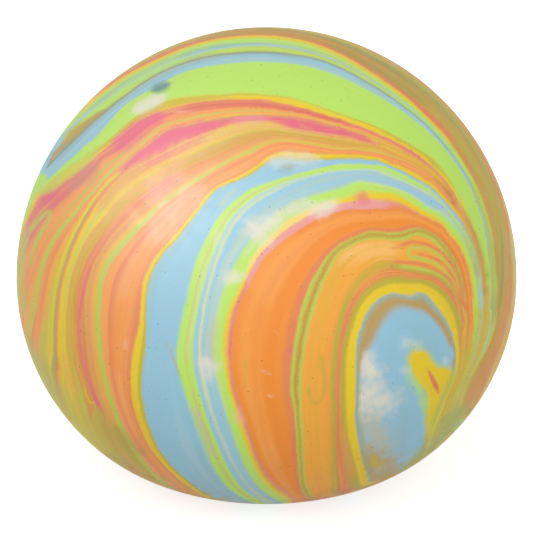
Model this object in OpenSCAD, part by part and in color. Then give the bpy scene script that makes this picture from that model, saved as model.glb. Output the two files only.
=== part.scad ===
// Stretchy gummy ball, modelled as it sits on a table.
// A soft rubber skin is filled through a port underneath with slow gummy dough.
// A barbed stopper closes the port, and a disc of soft sealer covers the stopper.
// Every piece is a body of revolution about Z, drawn as a half section with x as the radius.

/* [Ball] */
// Widest diameter of the resting ball
ball_d = 90; // [72:1:115]
// How far the ball's own weight presses its underside up
sag = 9.8; // [4:0.2:16]
// Diameter of the flat patch that the ball rests on
base_d = 28; // [20:1:40]

/* [Skin] */
// Wall thickness of the skin
skin_t = 2.4; // [1.6:0.1:4]

/* [Filling port] */
// Bore of the filling port
port_d = 8; // [5:0.5:10]
// Width of the moulded collar round the stopper's head
collar_w = 3; // [2:0.5:5]
// Height that the collar stands into the ball above the skin
collar_h = 3; // [2:0.5:6]
// Fillet at the root of the collar
collar_fillet = 1.5; // [0.5:0.1:2.5]

/* [Stopper] */
// Diameter of the stopper's flat head
head_d = 14; // [12:0.5:17]
// Thickness of the stopper's flat head
head_t = 0.8; // [0.5:0.1:1.2]
// Widest diameter of the barb that holds the stopper in
barb_d = 12; // [11:0.5:15]
// Height of the upright rim of the barb
barb_rim_h = 0.8; // [0.4:0.1:1.5]
// Height of the barb's taper above its rim
barb_taper_h = 3.2; // [2:0.2:6]
// Diameter of the barb's nose
nose_d = 4.6; // [3:0.2:7]

/* [Sealing disc] */
// Thickness of the sealing disc
seal_t = 0.4; // [0.2:0.05:0.6]
// How far the sealing disc lies above the table
seal_lift = 0.2; // [0.1:0.05:0.4]

/* [Clearances] */
// Glue line all round the stopper and the sealing disc
glue_gap = 0.05; // [0.02:0.01:0.1]
// Space between the filling and what encloses it
fill_gap = 0.2; // [0.1:0.05:0.4]

/* [Hidden] */
$fn = 96;

ball_r = ball_d / 2;
base_r = base_d / 2;
equator_h = ball_r - sag;

// The sagged half section is a quarter oval of two tangent arcs:
// the flank arc leaves the widest line upright, and the heel arc meets the table flat.
oval_x = ball_r - base_r;
oval_z = equator_h;
oval_diagonal = norm([oval_x, oval_z]);
flank_r = (oval_diagonal + oval_z - oval_x) / 2 * oval_diagonal / oval_x;
heel_r = (oval_diagonal - oval_z + oval_x) / 2 * oval_diagonal / oval_z;
flank_centre = [ball_r - flank_r, equator_h];
heel_centre = [base_r, heel_r];
// Both centres and the point where the arcs meet lie on one line, at this angle
meeting = (heel_centre - flank_centre) * sign(flank_r - heel_r);
meeting_angle = atan2(meeting[1], meeting[0]);

port_r = port_d / 2;
recess_r = head_d / 2 + glue_gap;
recess_h = seal_lift + seal_t + head_t;
collar_r = recess_r + collar_w;
collar_top = skin_t + collar_h;
barb_rim_top = collar_top + barb_rim_h;
nose_top = barb_rim_top + barb_taper_h;

// A slice of a disc between two angles, which are less than half a turn apart
module slice(r, from, to) {
    reach = 2 * r;
    middle = (from + to) / 2;
    intersection() {
        circle(r = r);
        polygon([
            [0, 0],
            reach * [cos(from), sin(from)],
            reach * [cos(middle), sin(middle)],
            reach * [cos(to), sin(to)],
        ]);
    }
}

// Half section of the whole ball, taken in by a wall thickness
module ball_section(inset) {
    translate([0, equator_h])
        slice(ball_r - inset, 0, 90);
    translate(flank_centre)
        slice(flank_r - inset, meeting_angle, 0);
    translate(heel_centre)
        slice(heel_r - inset, -90, meeting_angle);
    polygon([
        [0, inset],
        [base_r, inset],
        heel_centre,
        flank_centre,
        [0, equator_h],
    ]);
}

// Half section of the collar with its root fillet, grown by a gap
module collar_section(grow) {
    root_r = collar_fillet - grow;
    square([collar_r + grow, collar_top + grow]);
    translate([collar_r + grow, skin_t + grow])
        difference() {
            square(root_r);
            translate([root_r, root_r])
                circle(r = root_r);
        }
}

// Half section of the barb above the collar, grown by a gap
module barb_section(grow) {
    polygon([
        [0, collar_top],
        [barb_d / 2 + grow, collar_top],
        [barb_d / 2 + grow, barb_rim_top + grow],
        [nose_d / 2 + grow, nose_top + grow],
        [0, nose_top + grow],
    ]);
}

// Marbled rubber skin, with the port, its collar and the recess for the stopper's head
module outer_skin() {
    color("sandybrown")
        rotate_extrude()
            difference() {
                union() {
                    difference() {
                        ball_section(0);
                        ball_section(skin_t);
                    }
                    collar_section(0);
                }
                square([port_r, collar_top]);
                square([recess_r, recess_h]);
            }
}

// Slow gummy dough that fills the skin and closes round the collar and the barb
module filling() {
    color("wheat")
        rotate_extrude()
            difference() {
                ball_section(skin_t + fill_gap);
                collar_section(fill_gap);
                barb_section(fill_gap);
            }
}

// Soft stopper: a flat head in the recess, a shank in the port and a barb inside
module fill_stopper() {
    color("lightskyblue")
        rotate_extrude() {
            translate([0, recess_h - head_t])
                square([head_d / 2, head_t]);
            translate([0, recess_h])
                square([port_r - glue_gap, collar_top - recess_h]);
            barb_section(0);
        }
}

// Disc of sealer over the stopper's head, just clear of the table
module sealing_disc() {
    color("khaki")
        translate([0, 0, seal_lift])
            cylinder(r = recess_r - glue_gap, h = seal_t);
}

outer_skin();
filling();
fill_stopper();
sealing_disc();
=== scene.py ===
"""A soft marbled rubber ball that sags on a pale floor, with the dough, stopper and sealer that it holds."""

import math

import bmesh
import bpy
import numpy as np
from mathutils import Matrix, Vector
from mathutils.bvhtree import BVHTree
from mathutils.interpolate import poly_3d_calc
from mathutils.kdtree import KDTree


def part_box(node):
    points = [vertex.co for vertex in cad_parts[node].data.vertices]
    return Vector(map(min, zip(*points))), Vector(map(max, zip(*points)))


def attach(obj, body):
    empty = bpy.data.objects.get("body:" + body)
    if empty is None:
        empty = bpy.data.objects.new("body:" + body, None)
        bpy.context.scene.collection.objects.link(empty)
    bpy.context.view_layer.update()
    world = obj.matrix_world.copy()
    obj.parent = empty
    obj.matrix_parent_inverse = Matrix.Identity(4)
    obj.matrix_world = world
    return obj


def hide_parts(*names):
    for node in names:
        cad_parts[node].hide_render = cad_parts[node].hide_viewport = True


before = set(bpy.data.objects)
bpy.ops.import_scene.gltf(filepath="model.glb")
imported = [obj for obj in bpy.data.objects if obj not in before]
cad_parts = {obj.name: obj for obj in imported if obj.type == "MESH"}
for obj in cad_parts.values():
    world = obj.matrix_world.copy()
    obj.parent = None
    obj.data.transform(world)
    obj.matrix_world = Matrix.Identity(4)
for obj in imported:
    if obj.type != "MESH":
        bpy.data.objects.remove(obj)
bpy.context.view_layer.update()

MM = 0.001

# Sizes of the ball, from the frame and as its solids have them
SKIN_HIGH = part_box("outer_skin")[1]
BALL_R = SKIN_HIGH.x
EQUATOR_H = SKIN_HIGH.z - BALL_R
BASE_R = 14 * MM
SKIN_T = 2.4 * MM
FILL_GAP = 0.2 * MM
PORT_R = 4 * MM
STOPPER_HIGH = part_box("fill_stopper")[1]
GLUE_GAP = 0.05 * MM
RECESS_R = STOPPER_HIGH.x + GLUE_GAP
RECESS_TOP = 1.4 * MM
COLLAR_W = 3 * MM
COLLAR_R = RECESS_R + COLLAR_W
COLLAR_TOP = 5.4 * MM
COLLAR_FILLET = 1.5 * MM
BARB_R = 6 * MM
BARB_RIM_TOP = 6.2 * MM
NOSE_R = 2.3 * MM
MOUTH_LIP = 0.25 * MM

# Fineness of the skin's mesh: cells along each side of the cube that is wrapped round the ball,
# and the ring of cells, counted from the middle underneath, at which the port's mouth starts
SKIN_CELLS = 120
MOUTH_RING = 12
PORT_SIDES = 8 * MOUTH_RING
# Vertices of the skin's outside, which come first in its mesh
OUTSIDE_COUNT = 6 * SKIN_CELLS**2 + 2 - (2 * MOUTH_RING - 1) ** 2

# The camera, and the width in pixels of the picture that it takes
PICTURE = 533
CAMERA_DISTANCE = 450 * MM
CAMERA_ELEVATION = math.radians(22)
CAMERA_TARGET = Vector((0, 0, 37.25 * MM))
SENSOR = 36.0
LENS = 168.3
CAMERA_CLIP = 10 * MM
# The lens's length in the picture's pixels
FOCAL = LENS / SENSOR * PICTURE

# Colours of the rubber, as red, green and blue out of 255
PALETTE = {
    "sky": (152, 200, 220),
    "pond": (158, 204, 220),
    "mist": (150, 182, 178),
    "rust": (194, 156, 80),
    "sun": (238, 206, 40),
    "olive": (190, 176, 62),
    "coral": (232, 134, 88),
    "apricot": (247, 172, 62),
    "fern": (192, 204, 84),
    "ochre": (222, 154, 62),
    "clay": (230, 134, 84),
    "orange": (244, 144, 50),
    "tangerine": (249, 162, 74),
    "blush": (232, 142, 116),
    "lime": (190, 231, 102),
    "tan": (208, 202, 116),
    "moss": (198, 184, 48),
    "peach": (248, 162, 86),
    "straw": (200, 210, 92),
    "amber": (236, 182, 62),
    "rose": (238, 118, 146),
    "flush": (232, 122, 122),
    "brass": (212, 180, 60),
    "sand": (228, 164, 84),
    "slate": (140, 156, 132),
    "umber": (166, 152, 72),
    "cream": (232, 226, 208),
    "haze": (212, 222, 172),
    "beige": (200, 194, 164),
    "shell": (250, 184, 146),
    "brown": (190, 158, 84),
    "ruby": (222, 108, 92),
    "sage": (170, 178, 108),
    "teal": (100, 146, 148),
    "pearl": (222, 222, 210),
    "mauve": (208, 142, 126),
    "sienna": (220, 150, 72),
    "rouge": (232, 100, 132),
    "brick": (200, 124, 84),
    "mud": (204, 197, 68),
    "pink": (238, 166, 166),
    "nougat": (224, 184, 116),
    "jade": (172, 178, 92),
    "ale": (196, 150, 58),
    "melon": (250, 200, 118),
    "butter": (248, 222, 140),
    # Dark colour of painted shade inside the pores' pits
    "pit_shade": (70, 62, 44),
    "dough": (226, 212, 184),
    "stopper": (206, 210, 206),
    "sealer": (232, 228, 216),
}

# Bands of colour, from the heart of the swirl outwards: each has its outer edge as a reach, its colour
# and how softly that edge blends. A reach is a distance across the swirl, in millimetres where it is widest.
BANDS = [
    (0.0, "sky", 0.6),
    (0.6, "rust", 0.4),
    (1.0, "mist", 0.3),
    (2.7, "sun", 0.6),
    (3.8, "olive", 0.7),
    (5.0, "coral", 0.6),
    (6.0, "olive", 0.7),
    (10.75, "apricot", 0.4),
    (11.3, "fern", 0.2),
    (11.8, "ale", 0.25),
    (12.4, "fern", 0.2),
    (14.2, "clay", 1.6),
    (18.3, "orange", 1.6),
    (22.4, "tangerine", 1.4),
    (23.8, "orange", 0.8),
    (24.6, "blush", 0.5),
    (25.3, "sun", 0.4),
    (27.3, "lime", 0.6),
    (29.4, "pond", 0.4),
    (30.1, "haze", 0.4),
    (31.0, "pond", 0.4),
    (31.9, "lime", 0.5),
    (32.5, "tan", 0.4),
    (33.9, "lime", 0.6),
    (39.6, "sky", 0.5),
    (40.7, "moss", 0.7),
    (42.9, "sun", 0.6),
    (43.8, "coral", 0.8),
    (47.5, "peach", 1.4),
    (48.2, "coral", 0.4),
    (49.7, "peach", 0.5),
    (51.0, "fern", 0.4),
    (52.3, "amber", 0.6),
    (54.0, "sand", 0.7),
    (56.0, "clay", 0.9),
    (57.4, "ochre", 0.7),
    (59.0, "brass", 0.7),
    (61.6, "sun", 0.8),
    (62.1, "amber", 0.4),
    (62.7, "coral", 0.3),
    (63.4, "jade", 0.3),
    (64.6, "sun", 0.5),
    (65.7, "amber", 0.6),
    (67.9, "peach", 0.5),
    (69.1, "fern", 0.4),
    (72.8, "peach", 1.6),
    (77.0, "flush", 0.8),
    (78.6, "sun", 0.9),
    (87.0, "lime", 0.6),
    (89.8, "pond", 0.5),
    (90.6, "slate", 0.5),
    (92.2, "lime", 0.7),
    (93.0, "pond", 0.8),
    (95.2, "lime", 0.6),
    (96.4, "sun", 0.4),
    (97.6, "clay", 0.5),
    (99.4, "ale", 0.7),
    (101.0, "umber", 1.2),
    (103.0, "olive", 1.2),
    (105.5, "sienna", 0.9),
    (107.0, "tan", 0.6),
    (108.4, "sun", 0.7),
    (109.2, "coral", 0.5),
    (113.0, "orange", 1.0),
    (113.8, "fern", 0.4),
    (116.5, "peach", 0.8),
    (117.4, "rose", 0.6),
    (119.0, "peach", 0.8),
    (120.5, "sun", 0.7),
    (124.0, "lime", 0.6),
    (124.8, "tan", 0.4),
    (128.0, "sky", 0.6),
    (129.0, "haze", 0.6),
    (130.5, "lime", 0.6),
    (132.0, "sun", 0.6),
    (133.0, "blush", 0.6),
    (138.0, "orange", 1.0),
    (138.8, "fern", 0.3),
    (139.6, "ale", 0.3),
    (140.4, "fern", 0.3),
    (144.5, "apricot", 0.8),
    (146.0, "coral", 0.6),
    (147.2, "fern", 0.5),
    (200.0, "amber", 0.6),
]

# Edges between the bands, as they run across the picture: reach, then points in its pixels
EDGES = {
    "core": (-4.0, [
        (405, 332), (407, 370), (398, 440), (401, 471),
    ]),
    "heart": (0.0, [
        (377, 480), (368, 460), (362, 437), (360, 405), (361, 375), (366, 353), (373, 340), (385, 317),
        (394, 309), (404, 306), (414, 309), (423, 311), (432, 318), (441, 329), (448, 341), (452, 353),
        (452, 368), (439, 401), (431, 419), (421, 455),
    ]),
    "ring_in": (1.0, [
        (369, 482), (362, 458), (356, 428), (355, 400), (356, 347), (360, 328), (367, 312), (377, 300),
        (390, 294), (402, 295), (411, 297), (419, 293), (427, 296), (436, 307), (446, 321), (453, 338),
        (455.5, 354), (455, 370), (451, 384), (435, 420), (430, 438), (425, 454),
    ]),
    "ring_out": (3.1, [
        (359, 486), (347, 440), (344, 405), (344, 370), (347, 342), (356, 311), (367, 294), (380, 284),
        (397, 280), (411, 281), (424, 282), (436, 288), (446, 297), (454, 310), (458, 325), (460, 360),
        (455, 380), (447, 400), (434, 436), (430, 450),
    ]),
    "ember_out": (5.0, [
        (338, 492), (336, 455), (336, 412), (335, 385), (338, 350), (344, 316), (356, 290), (370, 276),
        (382, 270), (394, 268), (406, 271), (434, 277), (446, 285), (456, 297), (461, 311), (463.5, 326),
    ]),
    "moss_out": (6.0, [
        (332, 494), (331, 455), (331, 405), (330, 380), (333, 345), (340, 311), (352, 286), (366, 270),
        (378, 262), (390, 261), (417, 268), (432, 271), (446, 278), (456, 291), (462, 306),
    ]),
    "vein_in": (10.8, [
        (313, 498), (306, 482), (304, 455), (301, 390), (305, 348), (312, 317), (322, 286), (336, 258),
        (348, 248), (362, 241), (378, 239), (392, 241), (405, 240), (416, 236), (427, 238), (438, 246),
        (448, 259), (456, 277), (462, 296),
    ]),
    "vein_out": (12.4, [
        (305, 500), (299, 480), (297, 445), (294, 412), (290, 390), (293, 350), (300, 315), (312, 281),
        (329, 254), (342, 243), (356, 236), (371, 231), (398, 232), (411, 228), (424, 229), (438, 237),
        (450, 250), (459, 267), (464, 285), (467, 305), (467.5, 325), (464, 361), (457.5, 380), (433, 447),
    ]),
    "orange_out": (23.8, [
        (300, 501), (286, 491), (271, 477), (258, 456), (247, 424), (236, 389), (231, 360), (233, 328),
        (243, 297), (260, 263), (276, 246), (298, 230), (322, 217), (345, 210), (374, 209), (395, 208),
        (408, 211), (437, 225), (450, 238), (460, 252), (467, 270), (472, 306), (471, 342), (468.5, 360),
        (460.5, 380), (441, 432), (438, 444),
    ]),
    "gold_out": (25.3, [
        (292, 503), (278, 494), (263, 480), (251, 459), (239, 424), (228, 386), (223, 352), (226, 318),
        (236, 293), (254, 257), (267, 241), (287, 223), (310, 209), (335, 200), (356, 194), (363, 190),
        (376, 191.5), (397, 195), (426, 212), (439, 219), (459, 242), (467, 258), (472, 276), (475, 295),
        (476, 315),
    ]),
    "lime_out": (27.3, [
        (285, 504), (271, 496), (256, 483), (243, 461), (230, 426), (218, 385), (212, 350), (216, 316),
        (227, 282), (241, 254), (262, 227), (284, 209), (310, 197), (338, 189), (357, 182), (366, 182),
        (388, 186), (410, 194), (428, 207), (443, 215), (464, 240), (476, 276), (479, 315),
    ]),
    "pool_out": (29.5, [
        (277, 505), (263, 498), (247, 485), (233, 462), (217, 424), (205, 382), (201, 345), (206, 306),
        (214, 273), (225, 244), (237, 221), (256, 202), (280, 188), (308, 177), (335, 171), (360, 170),
        (380, 172), (422, 190), (437, 200), (450, 213), (470, 241), (477, 258), (480, 276), (481, 318),
        (473, 360), (464.5, 380), (442, 440),
    ]),
    "stripe_out": (33.9, [
        (260, 505), (245, 499), (228, 488), (213, 468), (200, 435), (187, 399), (178, 368), (178, 342),
        (193, 273), (204, 243), (219, 216), (241, 195), (266, 183), (325, 167), (350, 164), (380, 165.5),
        (394, 170), (422, 184.5), (436, 195), (460, 222.5), (470.5, 239),
    ]),
    "sky_out": (39.6, [
        (237, 505), (222, 501), (205, 493), (186, 479), (169, 462), (155, 441), (145, 412), (142, 380),
        (146, 345), (147, 298), (152, 275), (163, 255), (180, 236), (211, 196), (224, 186), (247, 177),
        (270, 162), (282, 159), (305, 161), (350, 159), (367, 160), (380, 162), (408, 174.5),
        (437, 193.5), (461, 221), (471, 238),
    ]),
    "sun_out": (43.1, [
        (225, 505), (207, 499), (186, 486), (166, 468), (148, 445), (135, 414), (130, 385), (132, 352),
        (139, 322), (141, 293), (146, 273), (159, 251), (177, 231), (196, 208), (212, 189), (245, 172),
        (270, 155), (285, 151), (305, 152), (330, 154), (372, 156), (404, 167), (420, 175), (437, 187),
        (451, 203), (462, 219),
    ]),
    "reed_in": (49.9, [
        (183, 494), (166, 483), (150, 468), (132, 443), (117, 412), (107, 378), (101, 340), (100, 306),
        (104, 277), (115, 256), (152, 216), (173, 198), (221, 166), (245, 155), (268, 144), (288, 141),
        (308, 144), (335, 149), (362, 150), (396, 158), (428, 174), (453, 199), (465, 219),
    ]),
    "reed_out": (51.4, [
        (178, 496), (160, 484), (144, 468), (126, 443), (111, 412), (101, 379), (95, 340), (94, 306),
        (98, 277), (109, 255), (125, 236), (165, 198), (215, 166), (264, 143), (288, 139), (308, 142),
        (335, 147), (362, 148), (380, 150),
    ]),
    "blush_out": (56.0, [
        (101, 414), (89, 388), (80, 360), (77, 325), (79, 292), (86, 266), (96, 247), (110, 227),
        (127, 208), (147, 192), (172, 177), (226, 151), (250, 140), (275, 135), (302, 137), (335, 143),
        (365, 146),
    ]),
    "rose_in": (61.5, [
        (62, 370), (58, 340), (62, 290), (69, 263), (79, 238), (92, 214), (107, 193), (121, 178),
        (140, 165), (185, 143), (212, 132), (240, 124), (265, 122), (290, 127), (340, 135), (380, 146),
    ]),
    "rose_out": (63.0, [
        (56, 360), (55, 335), (56, 310), (59, 287), (66, 260), (76, 234), (89, 210), (104, 189),
        (120, 174), (132, 159), (157, 139), (168, 131), (185, 127), (240, 116), (295, 118.5),
        (362, 134.5), (384, 143),
    ]),
    "grass": (68.5, [
        (30, 326), (38, 290), (42, 268), (49, 250), (60, 231), (73, 216), (107, 176), (142, 144),
        (155, 132), (167, 125), (210, 114), (240, 111), (275, 112), (320, 120), (380, 139), (428, 168),
        (441, 180), (452, 195),
    ]),
    "flush_out": (77.0, [
        (36, 203), (128, 131), (142, 120), (172, 108), (210, 101), (245, 100), (268, 101), (310, 111),
        (330, 117), (345, 121), (385, 137), (417, 155), (446, 182), (466, 216), (476, 238), (483, 262),
        (486, 285),
    ]),
    "meadow_in": (78.5, [
        (34, 197), (64, 171), (82, 160), (114, 136), (126, 125), (140, 114), (156, 105), (178, 98),
        (205, 96), (240, 94), (268, 95), (292, 99), (340, 115), (382, 130), (420, 151), (437, 164),
        (450, 181), (471, 220), (485, 262), (488, 284),
    ]),
    "meadow_out": (87.0, [
        (46, 181), (84, 147), (97, 136), (124, 106), (143, 94), (180, 74), (205, 67), (235, 63),
        (265, 62), (315, 68), (370, 91), (424, 128), (459, 168), (480, 214), (490, 262), (491.5, 284),
        (490, 308),
    ]),
    "lake_out": (90.0, [
        (46, 169), (83, 132), (124, 98), (162, 73), (207, 58), (260, 53), (308, 58), (330, 64), (355, 76),
        (382, 92), (408, 110), (432, 131), (464, 172), (486, 220), (494, 262), (493.5, 308), (486, 345),
        (468, 381), (450, 430),
    ]),
    "crest_in": (96.0, [
        (84, 110), (98, 97), (116, 83), (136, 71), (180, 50), (205, 42), (235, 37), (265, 36), (292, 39),
        (318, 46), (345, 58), (372, 74), (400, 94), (426, 117), (448, 141), (464, 164), (477, 187),
        (486, 210), (492.5, 235), (495.5, 260), (496, 275),
    ]),
    "crest_out": (97.5, [
        (95, 95), (113, 80), (156, 56), (180, 46), (205, 39), (235, 34), (265, 33), (292, 36), (320, 43),
        (348, 55), (375, 70), (403, 89), (430, 112), (453, 137), (483, 187), (497, 237), (499, 285),
        (497, 308),
    ]),
    "kiln_in": (103.0, [
        (444, 103), (472, 140), (492, 181), (504, 222), (506.5, 266), (503, 302), (494.5, 341),
        (473, 380), (463, 412),
    ]),
    "kiln_out": (105.5, [
        (503, 201), (508, 221), (512.5, 265),
    ]),
}

# Where the swirl runs on the sides that the picture doesn't show: turn to the right of the viewer
# in degrees, height in millimetres and reach
UNSEEN = [
    (-48, 1, 57), (-25, 1, 49), (-10, 1, 39.6), (-2, 1, 34), (4, 1, 29.5), (12, 1, 24), (16, 1, 11),
    (24, 1, 6), (33, 1, 3), (40, 1, -2), (48, 1, 3), (56, 1, 24), (62, 1, 30), (70, 1, 60), (80, 1, 90),
    (95, 1, 103), (46, 8, 0), (49, 8, 3), (53, 8, 24), (56, 8, 30), (61, 8, 90), (66, 8, 103), (44, 4, 0),
    (48, 4, 3), (54, 4, 24), (58, 4, 30), (68, 4, 90), (78, 4, 103), (75, 10, 104), (85, 12, 105),
    (80, 22, 104), (90, 28, 106), (100, 6, 105), (115, 1, 107), (150, 1, 112), (180, 1, 104),
    (-150, 1, 88), (-90, 1, 66), (100, 40, 107), (100, 62, 108), (125, 66, 110), (150, 74, 108),
    (180, 76, 106), (-150, 72, 103), (-125, 66, 99), (-108, 50, 92), (-105, 30, 82), (-110, 14, 76),
    (120, 45, 116), (118, 25, 115), (115, 10, 111), (135, 58, 121), (160, 65, 119), (-175, 65, 117),
    (-145, 58, 112), (-130, 42, 104), (-128, 22, 97), (-135, 8, 92), (135, 10, 138), (138, 30, 146),
    (150, 48, 150), (175, 54, 149), (-162, 46, 142), (-152, 30, 134), (-152, 12, 122), (160, 30, 128),
    (175, 36, 127), (-170, 25, 118), (165, 12, 119), (180, 8, 112), (180, 22, 116),
]
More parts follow.
